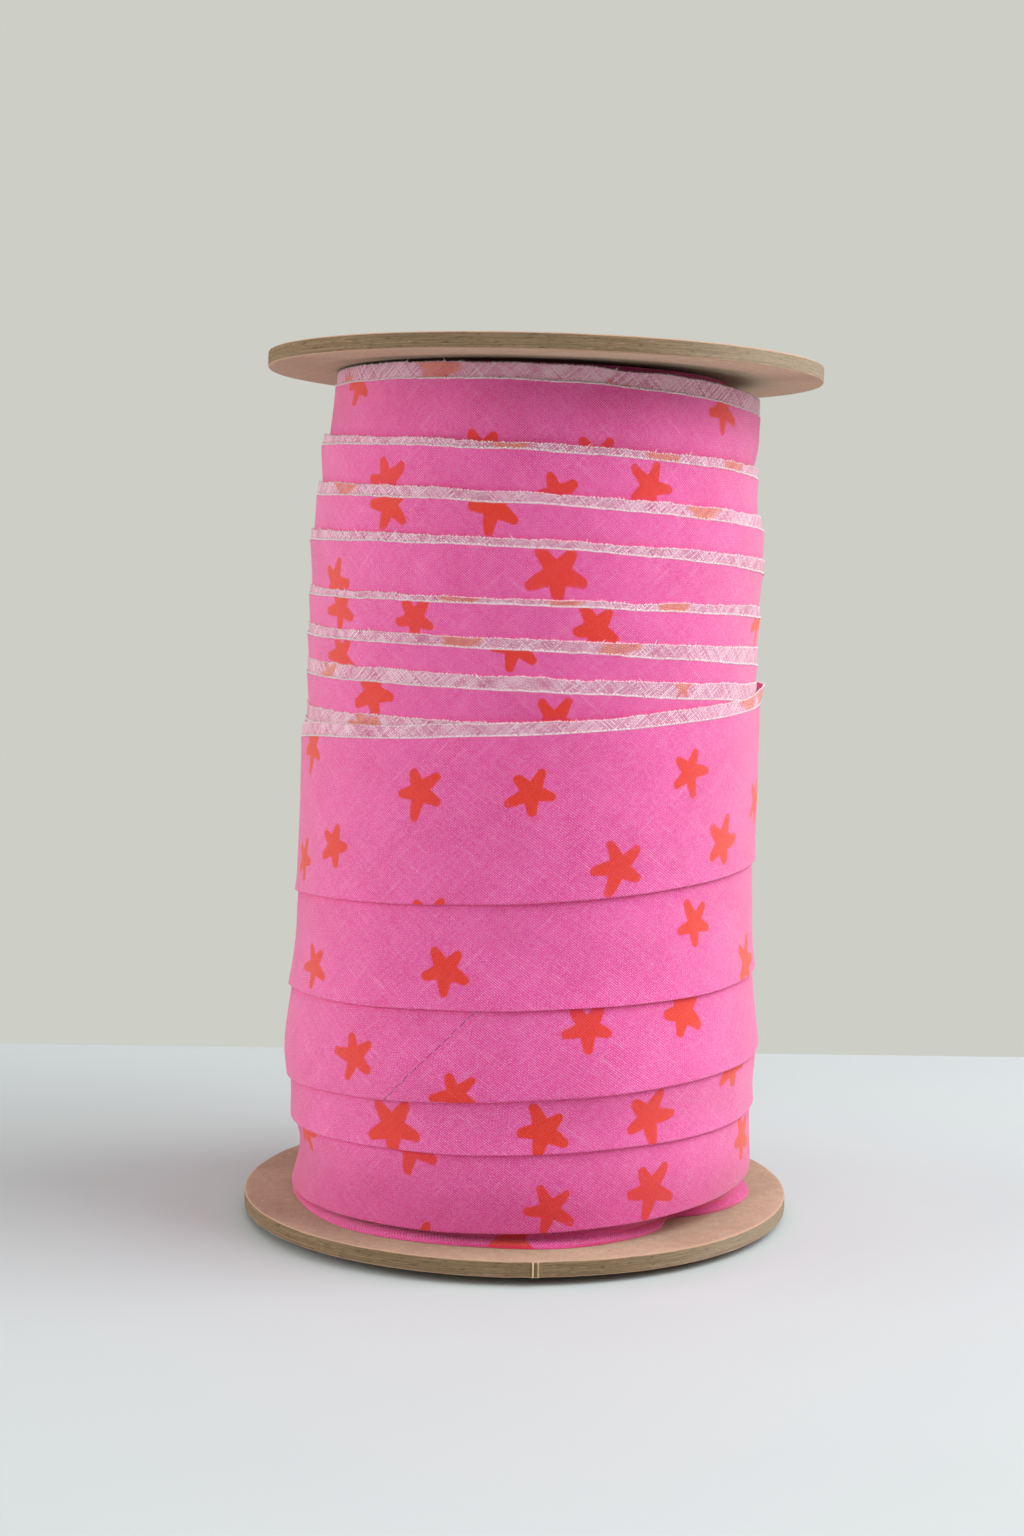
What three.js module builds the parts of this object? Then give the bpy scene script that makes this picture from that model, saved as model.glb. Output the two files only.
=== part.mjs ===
// A roll of bias binding wound on a spool with two chipboard discs.
// Millimetres, +Z up. The origin is the middle of the bottom disc's underside.
// Angles are in degrees round the roll: 0 is the front (-Y), 90 the right (+X).
// The binding is a bias strip pressed in half, so each turn has a fold at its foot
// and two raw edges at its head, where the inner layer stands above the outer one.
// It is wound down the spool first, each turn lying over the one above, and then up
// again as far as the middle, each turn lying over the one below.
import * as THREE from 'three';

// Discs
const DISC_RADIUS = 57;
const DISC_THICKNESS = 3.2;
const DISC_SIDES = 96;
const TOP_DISC_HEIGHT = 172.7; // underside, at the disc's middle
const TOP_DISC_SHIFT = 4.2; // to the right of the bottom disc
const TOP_DISC_TILT = 1.0; // degrees, down to the right
const NIB_ANGLE = 4; // small bump that the die left on the bottom disc's rim
const NIB_HEIGHT = 0.4;
const NIB_HALF_WIDTH = 1.6;

// Roll
const SEAT_GAP = 0.3; // between the windings and each disc
const BINDING_WIDTH = 32; // fold to outer raw edge
const BINDING_STEP = 0.6; // thickness of the folded binding
const CLOTH = 0.3;
const AXIS_FOOT = 0.63; // the roll's middle at the floor, along X
const AXIS_LEAN = 0.016; // millimetres to the right for each millimetre up
const INNER_RADIUS = 38; // windings that meet the top disc
const INNER_LEDGE_RADIUS = 42; // turn just inside the first one that shows
const INNER_LEDGE_DROP = 2.2; // from the top disc's underside
const COLUMN_STEP = 6; // degrees between the columns of the roll's surface
const END_ANGLE = 150; // where the binding is cut off, behind on the right
const END_STEP = 0.3; // degrees
const FOLD_ROUND = 0.35; // height of the rounded fold
const BAND_STEP = 14; // longest face up a turn
const SMALLEST_BAND = 0.3;
const CURL = { angle: 92, width: 9, reach: 1.3 }; // inner layer lifted off at the last raw edge

// Radius of the roll's outside by height, for the turns wound down and those wound up.
const DOWN_RADII = [
  { height: 90, radius: 47.0 },
  { height: 110, radius: 46.7 },
  { height: 131, radius: 46.6 },
  { height: 142, radius: 46.0 },
  { height: 152, radius: 45.3 },
  { height: 160, radius: 44.8 },
  { height: 168, radius: 43.4 },
  { height: 173, radius: 42.6 },
];
const UP_RADII = [
  { height: 3, radius: 47.8 },
  { height: 18, radius: 48.3 },
  { height: 27, radius: 48.7 },
  { height: 34, radius: 49.6 },
  { height: 46, radius: 48.7 },
  { height: 60, radius: 47.8 },
  { height: 94, radius: 47.6 },
  { height: 112, radius: 47.3 },
];

// Height of each turn's outer raw edge, and of the inner layer above it, going down.
const RAW_EDGES = [
  { left: 170.0, front: 168.4, right: 164.4, lipLeft: 3.2, lipFront: 3.0, lipRight: 3.4 },
  { left: 158.8, front: 155.2, right: 151.8, lipLeft: 2.2, lipFront: 1.2, lipRight: 2.0 },
  { left: 148.2, front: 145.2, right: 141.4, lipLeft: 2.4, lipFront: 1.9, lipRight: 2.6 },
  { left: 139.0, front: 137.0, right: 132.6, lipLeft: 1.9, lipFront: 1.4, lipRight: 2.6 },
  { left: 128.0, front: 126.2, right: 123.8, lipLeft: 1.5, lipFront: 1.0, lipRight: 2.2 },
  { left: 119.8, front: 117.7, right: 114.0, lipLeft: 1.9, lipFront: 2.0, lipRight: 3.6 },
  { left: 111.8, front: 110.0, right: 106.6, lipLeft: 3.0, lipFront: 2.5, lipRight: 3.6 },
  { left: 102.2, front: 101.4, right: 97.0, lipLeft: 3.1, lipFront: 2.2, lipRight: 2.4 },
  { left: 92.0, front: 90.0, right: 86.0, lipLeft: 2.4, lipFront: 2.2, lipRight: 2.4 },
];
const RAW_EDGE_START = 171.0; // a quarter turn and more before the first row
const LAST_LIP = { left: 2.8, front: 2.2, right: 2.7 };

// Height of each turn's fold, going up.
const FOLDS = [
  { left: 4.6, front: 6.4, right: 9.4 },
  { left: 18.6, front: 21.6, right: 23.2 },
  { left: 27.6, front: 32.2, right: 35.8 },
  { left: 46.2, front: 49.5, right: 52.0 },
  { left: 66.0, front: 69.9, right: 74.8 },
];
const FOLD_START = 3.8;
const FOLD_END = 84;

// Radius of the lowest turn's fold, pressed against the disc and buckled on the right.
const FOOT_RADII = [
  { angle: -180, radius: 47.6 },
  { angle: -75, radius: 47.6 },
  { angle: -43, radius: 49.0 },
  { angle: -11, radius: 47.5 },
  { angle: 10, radius: 48.0 },
  { angle: 30, radius: 45.2 },
  { angle: 40, radius: 43.4 },
  { angle: 50, radius: 40.0 },
  { angle: 60, radius: 44.2 },
  { angle: 72, radius: 48.0 },
  { angle: 85, radius: 49.2 },
  { angle: 110, radius: 48.4 },
  { angle: 180, radius: 47.6 },
];

const radians = THREE.MathUtils.degToRad;

// Straight line between the rows of a table that is sorted by the named key.
function between(rows, key, value, at) {
  const after = rows.findIndex((row) => row[key] >= at);
  if (after < 0) return rows.at(-1)[value];
  if (after === 0) return rows[0][value];
  const [low, high] = [rows[after - 1], rows[after]];
  return THREE.MathUtils.mapLinear(at, low[key], high[key], low[value], high[value]);
}

// Smooth curve through knots { angle, height }, with each knot's slope taken from its neighbours.
function smoothThrough(knots, angle) {
  let i = knots.findIndex((knot) => knot.angle > angle) - 1;
  if (i < 0) i = angle < knots[0].angle ? 0 : knots.length - 2;
  const slope = (n) => {
    const low = knots[Math.max(n - 1, 0)];
    const high = knots[Math.min(n + 1, knots.length - 1)];
    return (high.height - low.height) / (high.angle - low.angle);
  };
  const span = knots[i + 1].angle - knots[i].angle;
  const t = (angle - knots[i].angle) / span;
  const from = knots[i].height * (2 * t ** 3 - 3 * t ** 2 + 1);
  const to = knots[i + 1].height * (3 * t ** 2 - 2 * t ** 3);
  const bend = slope(i) * (t ** 3 - 2 * t ** 2 + t) + slope(i + 1) * (t ** 3 - t ** 2);
  return from + to + span * bend;
}

// Knots of a helix whose turns are the rows of a table, each turn running from -180 to 180.
function helixKnots(rows, left, front, right) {
  return rows.flatMap((row, turn) => [
    { angle: 360 * turn - 90, height: row[left] },
    { angle: 360 * turn, height: row[front] },
    { angle: 360 * turn + 90, height: row[right] },
  ]);
}

const rawKnots = [
  { angle: -270, height: RAW_EDGE_START },
  ...helixKnots(RAW_EDGES, 'left', 'front', 'right'),
];
const lipKnots = helixKnots(RAW_EDGES, 'lipLeft', 'lipFront', 'lipRight');
const foldKnots = [
  { angle: -270, height: FOLD_START },
  ...helixKnots(FOLDS, 'left', 'front', 'right'),
  { angle: 360 * FOLDS.length - 90, height: FOLD_END },
];
const lastLipKnots = helixKnots([LAST_LIP], 'left', 'front', 'right');

const rawHeight = (turn, angle) => smoothThrough(rawKnots, 360 * turn + angle);
const lipHeight = (turn, angle) => smoothThrough(lipKnots, 360 * turn + angle);
const foldHeight = (turn, angle) => smoothThrough(foldKnots, 360 * turn + angle);
const downRadius = (height) => between(DOWN_RADII, 'height', 'radius', height);
const upRadius = (height) => between(UP_RADII, 'height', 'radius', height);

// The top disc's underside, less the seat gap, over a point of the roll.
function ceiling(radius, angle) {
  const x = AXIS_FOOT + AXIS_LEAN * TOP_DISC_HEIGHT + radius * Math.sin(radians(angle));
  return TOP_DISC_HEIGHT - SEAT_GAP - Math.tan(radians(TOP_DISC_TILT)) * (x - TOP_DISC_SHIFT);
}

// Outline of the roll at one angle, from the top to the foot: points { key, radius, height }.
// Its heights never rise, and a key names the same feature in every column.
function column(angle) {
  const points = [];
  const add = (key, radius, height) => points.push({ key, radius, height });
  const lastTurn = angle > END_ANGLE ? FOLDS.length - 2 : FOLDS.length - 1;
  const lastRaw = foldHeight(lastTurn, angle) + BINDING_WIDTH;
  const lastLip = lastRaw + smoothThrough(lastLipKnots, angle);

  const top = ceiling(INNER_RADIUS, angle);
  const firstLip = Math.min(rawHeight(0, angle) + lipHeight(0, angle), top - SEAT_GAP);
  const ledge = Math.max(top - INNER_LEDGE_DROP, firstLip);
  add('cap', INNER_RADIUS, top);
  add('well', INNER_RADIUS, ledge);
  add('ledge', INNER_LEDGE_RADIUS, ledge);

  // One raw edge: the inner layer's strip, then the outer layer a step further out.
  const rawEdge = (key, height, lip, under, over, lift) => {
    add(`${key} a`, under(lip), lip);
    add(`${key} b`, under(lip) + CLOTH + lift, lip);
    add(`${key} c`, under(height) + CLOTH, height);
    add(`${key} d`, over(height), height);
  };

  let above = { height: ledge, radius: () => INNER_LEDGE_RADIUS };
  RAW_EDGES.forEach((row, turn) => {
    const height = rawHeight(turn, angle);
    const roof = Math.min(above.height - SMALLEST_BAND, top - SEAT_GAP);
    const lip = Math.min(height + lipHeight(turn, angle), roof);
    if (lip < lastLip + SMALLEST_BAND) return;
    const edge = Math.max(height, lastRaw + SMALLEST_BAND);
    rawEdge(`raw ${turn}`, edge, lip, above.radius, downRadius, 0);
    const next = rawHeight(turn + 1, angle);
    const sunk = (at) => (BINDING_STEP * (height - at)) / (height - next);
    above = { height: edge, radius: (at) => downRadius(at) - sunk(at) };
  });

  const lift = CURL.reach * Math.exp(-(((angle - CURL.angle) / CURL.width) ** 2));
  rawEdge('last raw', lastRaw, lastLip, above.radius, upRadius, lift);

  let from = lastRaw;
  let outside = upRadius;
  for (let turn = lastTurn; turn >= 0; turn -= 1) {
    const fold = foldHeight(turn, angle);
    const steps = Math.ceil((from - fold) / BAND_STEP);
    for (let step = 1; step < steps; step += 1) {
      const height = THREE.MathUtils.lerp(from, fold, step / steps);
      add(`band ${turn} ${step}`, outside(height), height);
    }
    add(`fold ${turn} a`, upRadius(fold), fold + FOLD_ROUND);
    add(`fold ${turn} b`, upRadius(fold) - BINDING_STEP / 4, fold);
    add(`fold ${turn} c`, upRadius(fold) - BINDING_STEP, fold);
    const below = turn > 0 ? foldHeight(turn - 1, angle) : DISC_THICKNESS;
    const sunk = (at) => (BINDING_STEP * (at - below)) / (fold - below);
    outside = (at) => upRadius(at) - sunk(at);
    from = fold;
  }
  const foot = between(FOOT_RADII, 'angle', 'radius', angle);
  const floor = DISC_THICKNESS + SEAT_GAP;
  add('foot a', (foot + outside(from)) / 2, THREE.MathUtils.lerp(floor, from, 0.4));
  add('foot b', foot, floor);
  return points;
}

// The same feature half a turn on: at the back each turn runs into the next row of its table.
function afterTheBack(key) {
  const [kind, turn, ...rest] = key.split(' ');
  if (!['raw', 'fold', 'band'].includes(kind)) return key;
  return [kind, Number(turn) + 1, ...rest].join(' ');
}

// Closed surface over columns that may hold different features: shared keys are joined
// across, and what only one column holds is fanned to the last point that both share.
function rollGeometry() {
  const angles = [];
  for (let angle = -180; angle < 180; angle += COLUMN_STEP) angles.push(angle);
  angles.push(END_ANGLE + END_STEP);
  angles.sort((a, b) => a - b);
  const columns = angles.map(column);

  const positions = [];
  const faces = [];
  const place = (x, y, z) => positions.push(x, y, z) / 3 - 1; // adds a point, gives its index
  columns.forEach((points, i) => {
    const [sin, cos] = [Math.sin(radians(angles[i])), Math.cos(radians(angles[i]))];
    for (const point of points) {
      const middle = AXIS_FOOT + AXIS_LEAN * point.height;
      point.index = place(middle + point.radius * sin, -point.radius * cos, point.height);
    }
  });

  columns.forEach((left, i) => {
    const atBack = i === columns.length - 1;
    const right = columns[(i + 1) % columns.length];
    const rename = atBack ? afterTheBack : (key) => key;
    let [l, r] = [0, 0];
    while (l < left.length - 1 || r < right.length - 1) {
      const nextLeft = rename(left[l + 1]?.key ?? '');
      const nextRight = right[r + 1]?.key;
      const leftKnown = right.slice(r + 1).some((point) => point.key === nextLeft);
      const rightKnown = left.slice(l + 1).some((point) => rename(point.key) === nextRight);
      const stepLeft = l < left.length - 1 && (leftKnown === rightKnown || !leftKnown);
      const stepRight = r < right.length - 1 && (leftKnown === rightKnown || !rightKnown);
      if (stepLeft) {
        faces.push(left[l].index, left[l + 1].index, right[r].index);
        l += 1;
      }
      if (stepRight) {
        faces.push(left[l].index, right[r + 1].index, right[r].index);
        r += 1;
      }
    }
  });

  const topMiddle = AXIS_FOOT + AXIS_LEAN * TOP_DISC_HEIGHT;
  const capCentre = place(topMiddle, 0, ceiling(0, 0));
  const footCentre = place(AXIS_FOOT, 0, DISC_THICKNESS + SEAT_GAP);
  columns.forEach((left, i) => {
    const right = columns[(i + 1) % columns.length];
    faces.push(capCentre, left[0].index, right[0].index);
    faces.push(footCentre, right.at(-1).index, left.at(-1).index);
  });

  const geometry = new THREE.BufferGeometry();
  geometry.setAttribute('position', new THREE.Float32BufferAttribute(positions, 3));
  geometry.setIndex(faces);
  geometry.computeVertexNormals();
  return geometry;
}

// A flat disc, its rim a circle with a bump of the given height.
function discGeometry(nibHeight) {
  const outline = [];
  for (let side = 0; side < DISC_SIDES; side += 1) {
    const angle = NIB_ANGLE + (360 * side) / DISC_SIDES;
    const offNib = Math.min(angle - NIB_ANGLE, 360 - (angle - NIB_ANGLE));
    const along = DISC_RADIUS * radians(offNib);
    const radius = DISC_RADIUS + nibHeight * Math.exp(-((along / NIB_HALF_WIDTH) ** 2));
    const turned = radians(angle);
    outline.push(new THREE.Vector2(radius * Math.sin(turned), -radius * Math.cos(turned)));
  }
  const depth = DISC_THICKNESS;
  return new THREE.ExtrudeGeometry(new THREE.Shape(outline), { depth, bevelEnabled: false });
}

const chipboard = new THREE.MeshStandardMaterial({ color: 0xb08a74, roughness: 0.9, metalness: 0 });
const topChipboard = chipboard.clone();
const cotton = new THREE.MeshStandardMaterial({ color: 0xe2699f, roughness: 0.85, metalness: 0 });

const bottomDisc = new THREE.Mesh(discGeometry(NIB_HEIGHT), chipboard);
bottomDisc.name = 'disc_bottom';

const topDisc = new THREE.Mesh(discGeometry(0), topChipboard);
topDisc.name = 'disc_top';
topDisc.position.set(TOP_DISC_SHIFT, 0, TOP_DISC_HEIGHT);
topDisc.rotation.y = radians(TOP_DISC_TILT);

const roll = new THREE.Mesh(rollGeometry(), cotton);
roll.name = 'binding_roll';

const spool = new THREE.Group();
spool.add(bottomDisc, roll, topDisc);

export default spool;
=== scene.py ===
"""A roll of bias binding on a card spool.

The binding is one long bias-cut strip, pressed in half with its fold below and two raw edges above,
and wound on a spool with two chipboard discs: down the spool first, each turn over the one above,
and then up again to the middle, each turn over the one below.

Lengths are millimetres, scaled by MM when a mesh is made, where nothing else is said.  Angles are
degrees round the roll: 0 is the front (-Y), 90 the right (+X), and 360 more for each further turn.
"""
import math

import bmesh
import bpy
import numpy as np
from mathutils import Matrix, Vector


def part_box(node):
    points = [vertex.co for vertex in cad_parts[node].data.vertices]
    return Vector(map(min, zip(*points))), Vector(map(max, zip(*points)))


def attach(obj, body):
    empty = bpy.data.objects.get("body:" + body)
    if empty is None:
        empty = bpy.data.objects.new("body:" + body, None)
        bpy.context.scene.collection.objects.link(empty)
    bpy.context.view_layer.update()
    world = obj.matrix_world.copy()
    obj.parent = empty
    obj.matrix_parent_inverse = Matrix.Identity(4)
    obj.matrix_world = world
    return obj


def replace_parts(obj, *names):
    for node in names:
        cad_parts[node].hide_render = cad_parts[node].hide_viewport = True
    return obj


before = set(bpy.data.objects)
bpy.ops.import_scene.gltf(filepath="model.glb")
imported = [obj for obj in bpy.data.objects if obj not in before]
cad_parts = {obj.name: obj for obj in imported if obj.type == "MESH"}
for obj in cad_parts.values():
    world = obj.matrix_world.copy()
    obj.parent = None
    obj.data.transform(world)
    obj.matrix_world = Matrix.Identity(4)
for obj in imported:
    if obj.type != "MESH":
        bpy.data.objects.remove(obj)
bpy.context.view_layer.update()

MM = 0.001
TURN = 360.0


# -------- sizes

BOTTOM_LOW, BOTTOM_HIGH = (np.array(corner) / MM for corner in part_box("disc_bottom"))
TOP_LOW, TOP_HIGH = (np.array(corner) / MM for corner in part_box("disc_top"))
BOARD = BOTTOM_HIGH[2] - BOTTOM_LOW[2]  # thickness of the chipboard
DISC_RADIUS = BOTTOM_HIGH[0]
TOP_MIDDLE = (TOP_LOW + TOP_HIGH) / 2
TOP_TILT = math.asin((TOP_HIGH[2] - TOP_LOW[2] - BOARD) / (2 * DISC_RADIUS))  # radians, down to the right
TOP_UNDERSIDE = TOP_MIDDLE[2] - BOARD / 2
RIDGE_WIDTH = 0.15
# What the die left on the bottom disc's rim: a nib with two thin ridges, each given as its place
# along the rim from the nib's middle, and its height.
NIB = {"angle": 4, "height": 0.35, "half_width": 1.3, "ridges": ((-0.5, 0.30), (0.45, 0.22))}

WIDTH = 32.0  # of the folded binding, fold to outer raw edge
STEP = 0.6  # from one turn of binding to the next one over it
FOLDED = 0.54  # thickness of the folded binding
CLOTH = 0.25  # thickness of one layer
MEAN_RADIUS = 47.3  # turns an angle into a length along the binding
AXIS_FOOT = 0.63  # the roll's middle at the floor, along X
AXIS_LEAN = 0.016  # millimetres to the right for each millimetre up
LEDGE_RADIUS = 42.0  # windings just inside the first turn that shows
COLUMN = 1.8  # degrees between the columns of a wound strip
END_ANGLE = 4 * TURN + 150  # where the binding is cut off, behind on the right
FOOT_TURN = -1.5 * TURN  # where the lowest turn begins, behind

# Radius of the roll's outside by height: the turns wound down, and those wound up over them.
DOWN_RADII = np.array([
    (60, 44.6), (80, 45.6), (90, 46.6), (110, 46.7), (131, 46.6), (142, 46.0), (152, 45.3), (160, 44.8),
    (168, 43.4), (173, 42.6),
])
UP_RADII = np.array([
    (3, 47.8), (18, 48.3), (27, 48.7), (34, 49.6), (46, 48.7), (60, 47.8), (94, 47.6), (112, 47.3),
])

# Height of each turn's outer raw edge at the left, front and right, going down the spool,
# and how far the inner layer stands above it.  The last rows are covered.
RAW_EDGES = np.array([
    (170.0, 168.4, 164.4, 3.2, 3.0, 3.4),
    (158.4, 155.2, 151.8, 1.8, 1.2, 2.0),
    (148.2, 145.2, 141.4, 2.4, 1.9, 2.6),
    (139.0, 137.0, 132.6, 1.9, 1.4, 2.6),
    (128.0, 126.2, 123.8, 1.5, 1.0, 2.2),
    (119.8, 117.7, 114.0, 1.9, 2.0, 3.6),
    (111.8, 110.0, 106.6, 3.0, 2.5, 3.6),
    (102.2, 101.4, 97.0, 3.1, 2.2, 2.4),
    (92.0, 90.0, 86.0, 2.4, 2.2, 2.4),
    (80.0, 77.0, 74.0, 2.4, 2.2, 2.4),
    (68.0, 65.0, 62.0, 2.4, 2.2, 2.4),
    (56.0, 53.0, 50.0, 2.4, 2.2, 2.4),
    (44.0, 41.0, 38.0, 2.4, 2.2, 2.4),
])
RAW_START = 171.0  # height of the raw edge where it first shows, behind
# How far each turn stands off the one it lies on.
STAND_OFFS = np.array([(-1, 0.6), (0, 0.8), (1, 1.7), (2, 1.0), (3, 0.9), (4, 0.6), (12, 0.6)])
DOWN_START, DOWN_END = -235.0, 8 * TURN + 110

# Height of each turn's fold at the left, front and right, going up the spool.
FOLDS = np.array([
    (4.4, 6.2, 9.4),
    (18.6, 21.6, 23.2),
    (27.6, 32.2, 35.8),
    (46.2, 49.5, 52.0),
    (66.0, 69.9, 74.8),
    (84.0, 88.0, 92.0),
])
FOOT_HEIGHT = 3.27  # of the lowest turn's fold, just clear of the bottom disc
FOLD_START = 3.8  # height of that fold behind, where the next turn begins to cover it
FOOT_RECESS = 1.9  # how far the cloth lies back over that fold
LAST_LIP = (2.8, 2.2, 2.7)  # how far the last turn's inner layer stands above its outer one

DIMPLE = 0.045  # height of each of the slow waves in the roll's surface
FLARE, FLARE_FADE = 0.22, 2.2  # each fold stands off by the first, less with height over the second
# Height over which the lowest fold's push dies away, and the same where it buckles inwards, as a
# share of the height that shows.
FOOT_FADE, BUCKLE_FADE = 1.7, 1.15
LEAST_LIP = 0.5
DISC_CLEARANCE = 0.7  # between a raw edge and the top disc
CURL_ANGLE, CURL_WIDTH, CURL_HEIGHT = 4 * TURN + 96, 13.0, 1.8  # the last raw edge springs off the roll
SEAM_ANGLE = 2 * TURN - 32.5  # where the join between two strips meets the fold
SEAM_ALLOWANCE = 6.0
SEAM_BULK = 0.16

# Radius of the lowest turn's fold by angle: it is pressed against the disc and buckles on the right.
FOOT_RADII = np.array([
    (-180, 47.6), (-75, 47.6), (-43, 49.0), (-11, 47.6), (10, 48.0), (30, 45.4), (40, 43.4), (50, 40.0),
    (60, 44.2), (72, 47.6), (85, 48.9), (110, 48.2), (180, 47.6),
])

# How far the roll bulges at its left and right sides, by height.
LEFT_BULGE = np.array([
    (0, 0), (4, 0), (8, -0.7), (12, -1.4), (16, -1.1), (19, 0), (22, 0.3), (33, 0.5), (45, 0.7), (55, 0.5),
    (64, 0.7), (70, 0.3), (85, 0.3), (96, 0.4), (100, 0.7), (104, 0.4), (110, 0.2), (130, 0.1), (135, 0.5),
    (140, 1.1), (144, 0.8), (150, 0.2), (157, 0), (162, -0.5), (167, -0.8), (173, -0.8),
])
RIGHT_BULGE = np.array([
    (0, -0.4), (6, -0.4), (10, 0.6), (14, 0.7), (24, 0.4), (30, 0.1), (40, 0), (80, -0.2), (100, 0), (125, 0),
    (131, 0.2), (134, 0.7), (138, 0.9), (142, 0.7), (147, 0.1), (154, 0.4), (158, 1.0), (163, 1.1),
    (167, 1.4), (173, 0.8),
])


# -------- winding

def smooth_through(knots, at):
    """Cubic curve through knots (angle, height).  Each knot's slope is that of the chord between
    its two neighbours, and each piece is the Hermite cubic with those end slopes."""
    x, y = np.asarray(knots, float).T
    low = np.maximum(np.arange(len(x)) - 1, 0)
    high = np.minimum(np.arange(len(x)) + 1, len(x) - 1)
    slope = (y[high] - y[low]) / (x[high] - x[low])
    at = np.clip(at, x[0], x[-1])
    i = np.clip(np.searchsorted(x, at, side="right") - 1, 0, len(x) - 2)
    span = x[i + 1] - x[i]
    t = (at - x[i]) / span
    ends = y[i] * (2 * t**3 - 3 * t**2 + 1) + y[i + 1] * (3 * t**2 - 2 * t**3)
    bends = slope[i] * (t**3 - 2 * t**2 + t) + slope[i + 1] * (t**3 - t**2)
    return ends + span * bends


def helix_knots(rows, before=(), first_turn=0):
    """Knots at the left, front and right of each turn, from rows of three heights."""
    knots = [(TURN * (first_turn + turn) + side, height)
             for turn, row in enumerate(rows) for side, height in zip((-90, 0, 90), row)]
    return [*before, *knots]


RAW_KNOTS = helix_knots(RAW_EDGES[:, :3], before=[(-270, RAW_START)])
LIP_KNOTS = helix_knots(RAW_EDGES[:, 3:])
FOLD_KNOTS = helix_knots(FOLDS, before=[(FOOT_TURN, FOOT_HEIGHT), (-270, FOOT_HEIGHT), (-180, FOLD_START)])
LAST_LIP_KNOTS = helix_knots([LAST_LIP], first_turn=4)


def smooth_step(low, high, at):
    """0 below low, 1 above high, and a smooth cubic between."""
    t = np.clip((at - low) / (high - low), 0, 1)
    return t * t * (3 - 2 * t)


def bell(at, middle, width):
    """Bell curve: 1 at its middle, and e to minus the square of the distance over the width."""
    return np.exp(-(((at - middle) / width) ** 2))


def round_the_roll(angle):
    """The same angle, between -180 and 180."""
    return (angle + 180) % TURN - 180


def waver(at, wavelength, size, seed):
    """Uneven line: twice the mean of six sines of the given size, whose wavelengths lie around the
    given one."""
    chance = np.random.default_rng(seed)
    lengths = wavelength * chance.uniform(0.55, 1.8, 6)
    phases = chance.uniform(0, 2 * np.pi, 6)
    waves = np.sin(2 * np.pi * np.asarray(at)[..., None] / lengths + phases)
    return size * waves.mean(-1) * 2.0


def dimples(angle, height):
    """Uneven surface: a sum of twelve slow waves round the roll and up it, the same for every layer,
    and the bulges of its left and right sides, which fade as the cube of the sine of the angle."""
    chance = np.random.default_rng(3)
    total = np.zeros(np.broadcast(angle, height).shape)
    for _ in range(12):
        round_it = chance.integers(1, 9)
        up_it = chance.uniform(18, 70)
        phase = chance.uniform(0, 2 * np.pi)
        total = total + np.sin(np.radians(angle) * round_it + height * 2 * np.pi / up_it + phase)
    sideways = np.sin(np.radians(angle))
    left = smooth_through(LEFT_BULGE, height) * np.maximum(-sideways, 0) ** 3
    right = smooth_through(RIGHT_BULGE, height) * np.maximum(sideways, 0) ** 3
    return DIMPLE * total + left + right


def uneven_line(knots, angle, *wavers):
    """The curve through the knots, with a waver for each (wavelength, size, seed)."""
    line = smooth_through(knots, angle)
    for each in wavers:
        line = line + waver(angle, *each)
    return line


def raw_edge(angle):
    """Height of the outer layer's raw edge on the turns wound down."""
    return uneven_line(RAW_KNOTS, angle, (26, 0.10, 1), (5, 0.05, 2))


def fold_edge(angle):
    """Height of the fold on the turns wound up."""
    uneven = waver(angle, 40, 0.10, 4) * smooth_step(-200, -60, angle)
    return smooth_through(FOLD_KNOTS, angle) + uneven


def ceiling(angle, radius):
    """Height of the top disc's underside over a point of the roll."""
    x = AXIS_FOOT + AXIS_LEAN * TOP_UNDERSIDE + radius * np.sin(np.radians(angle))
    return TOP_UNDERSIDE - math.tan(TOP_TILT) * (x - TOP_MIDDLE[0])


def down_lip(angle):
    """How far the inner layer stands above the outer one, on the turns wound down."""
    lip = uneven_line(LIP_KNOTS, angle, (30, 0.16, 5), (6, 0.07, 6))
    room = ceiling(angle, LEDGE_RADIUS + 1) - DISC_CLEARANCE - raw_edge(angle)
    return np.clip(lip, LEAST_LIP, room)


def up_lip(angle):
    """The same for the turns wound up, of which only the last turn's shows."""
    lip = uneven_line(LAST_LIP_KNOTS, angle, (30, 0.15, 7), (6, 0.07, 8))
    return np.maximum(lip + 0.1 * bell(angle, CURL_ANGLE + 4, CURL_WIDTH + 1), LEAST_LIP)


def stand_off(angle):
    """Gap in radius between a down-wound turn and the one it lies on, in proportion between turns."""
    return np.interp(angle / TURN, *STAND_OFFS.T)


def down_surface(angle, height):
    """Radius of a down-wound turn's outer face: the roll's outside, less a stand-off for each later
    turn that covers it.  Each of those grows evenly from one raw edge to the next.  The first turn
    comes out from inside the windings."""
    edges = [smooth_through(RAW_KNOTS, angle + TURN * j) for j in range(4)]
    above = np.maximum(smooth_through(RAW_KNOTS, angle - TURN), edges[0] + 6)
    sunk = -stand_off(angle) * np.clip((height - edges[0]) / (above - edges[0]), 0, 1)
    for later, (this, below) in enumerate(zip(edges, edges[1:]), 1):
        share = np.clip((this - height) / (this - below), 0, 1)
        sunk = sunk + stand_off(angle + TURN * later) * share
    radius = smooth_through(DOWN_RADII, height) - sunk + dimples(angle, height)
    inside = LEDGE_RADIUS - 1.0
    return inside + (radius - inside) * smooth_step(DOWN_START, DOWN_START + 85, angle)


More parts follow.
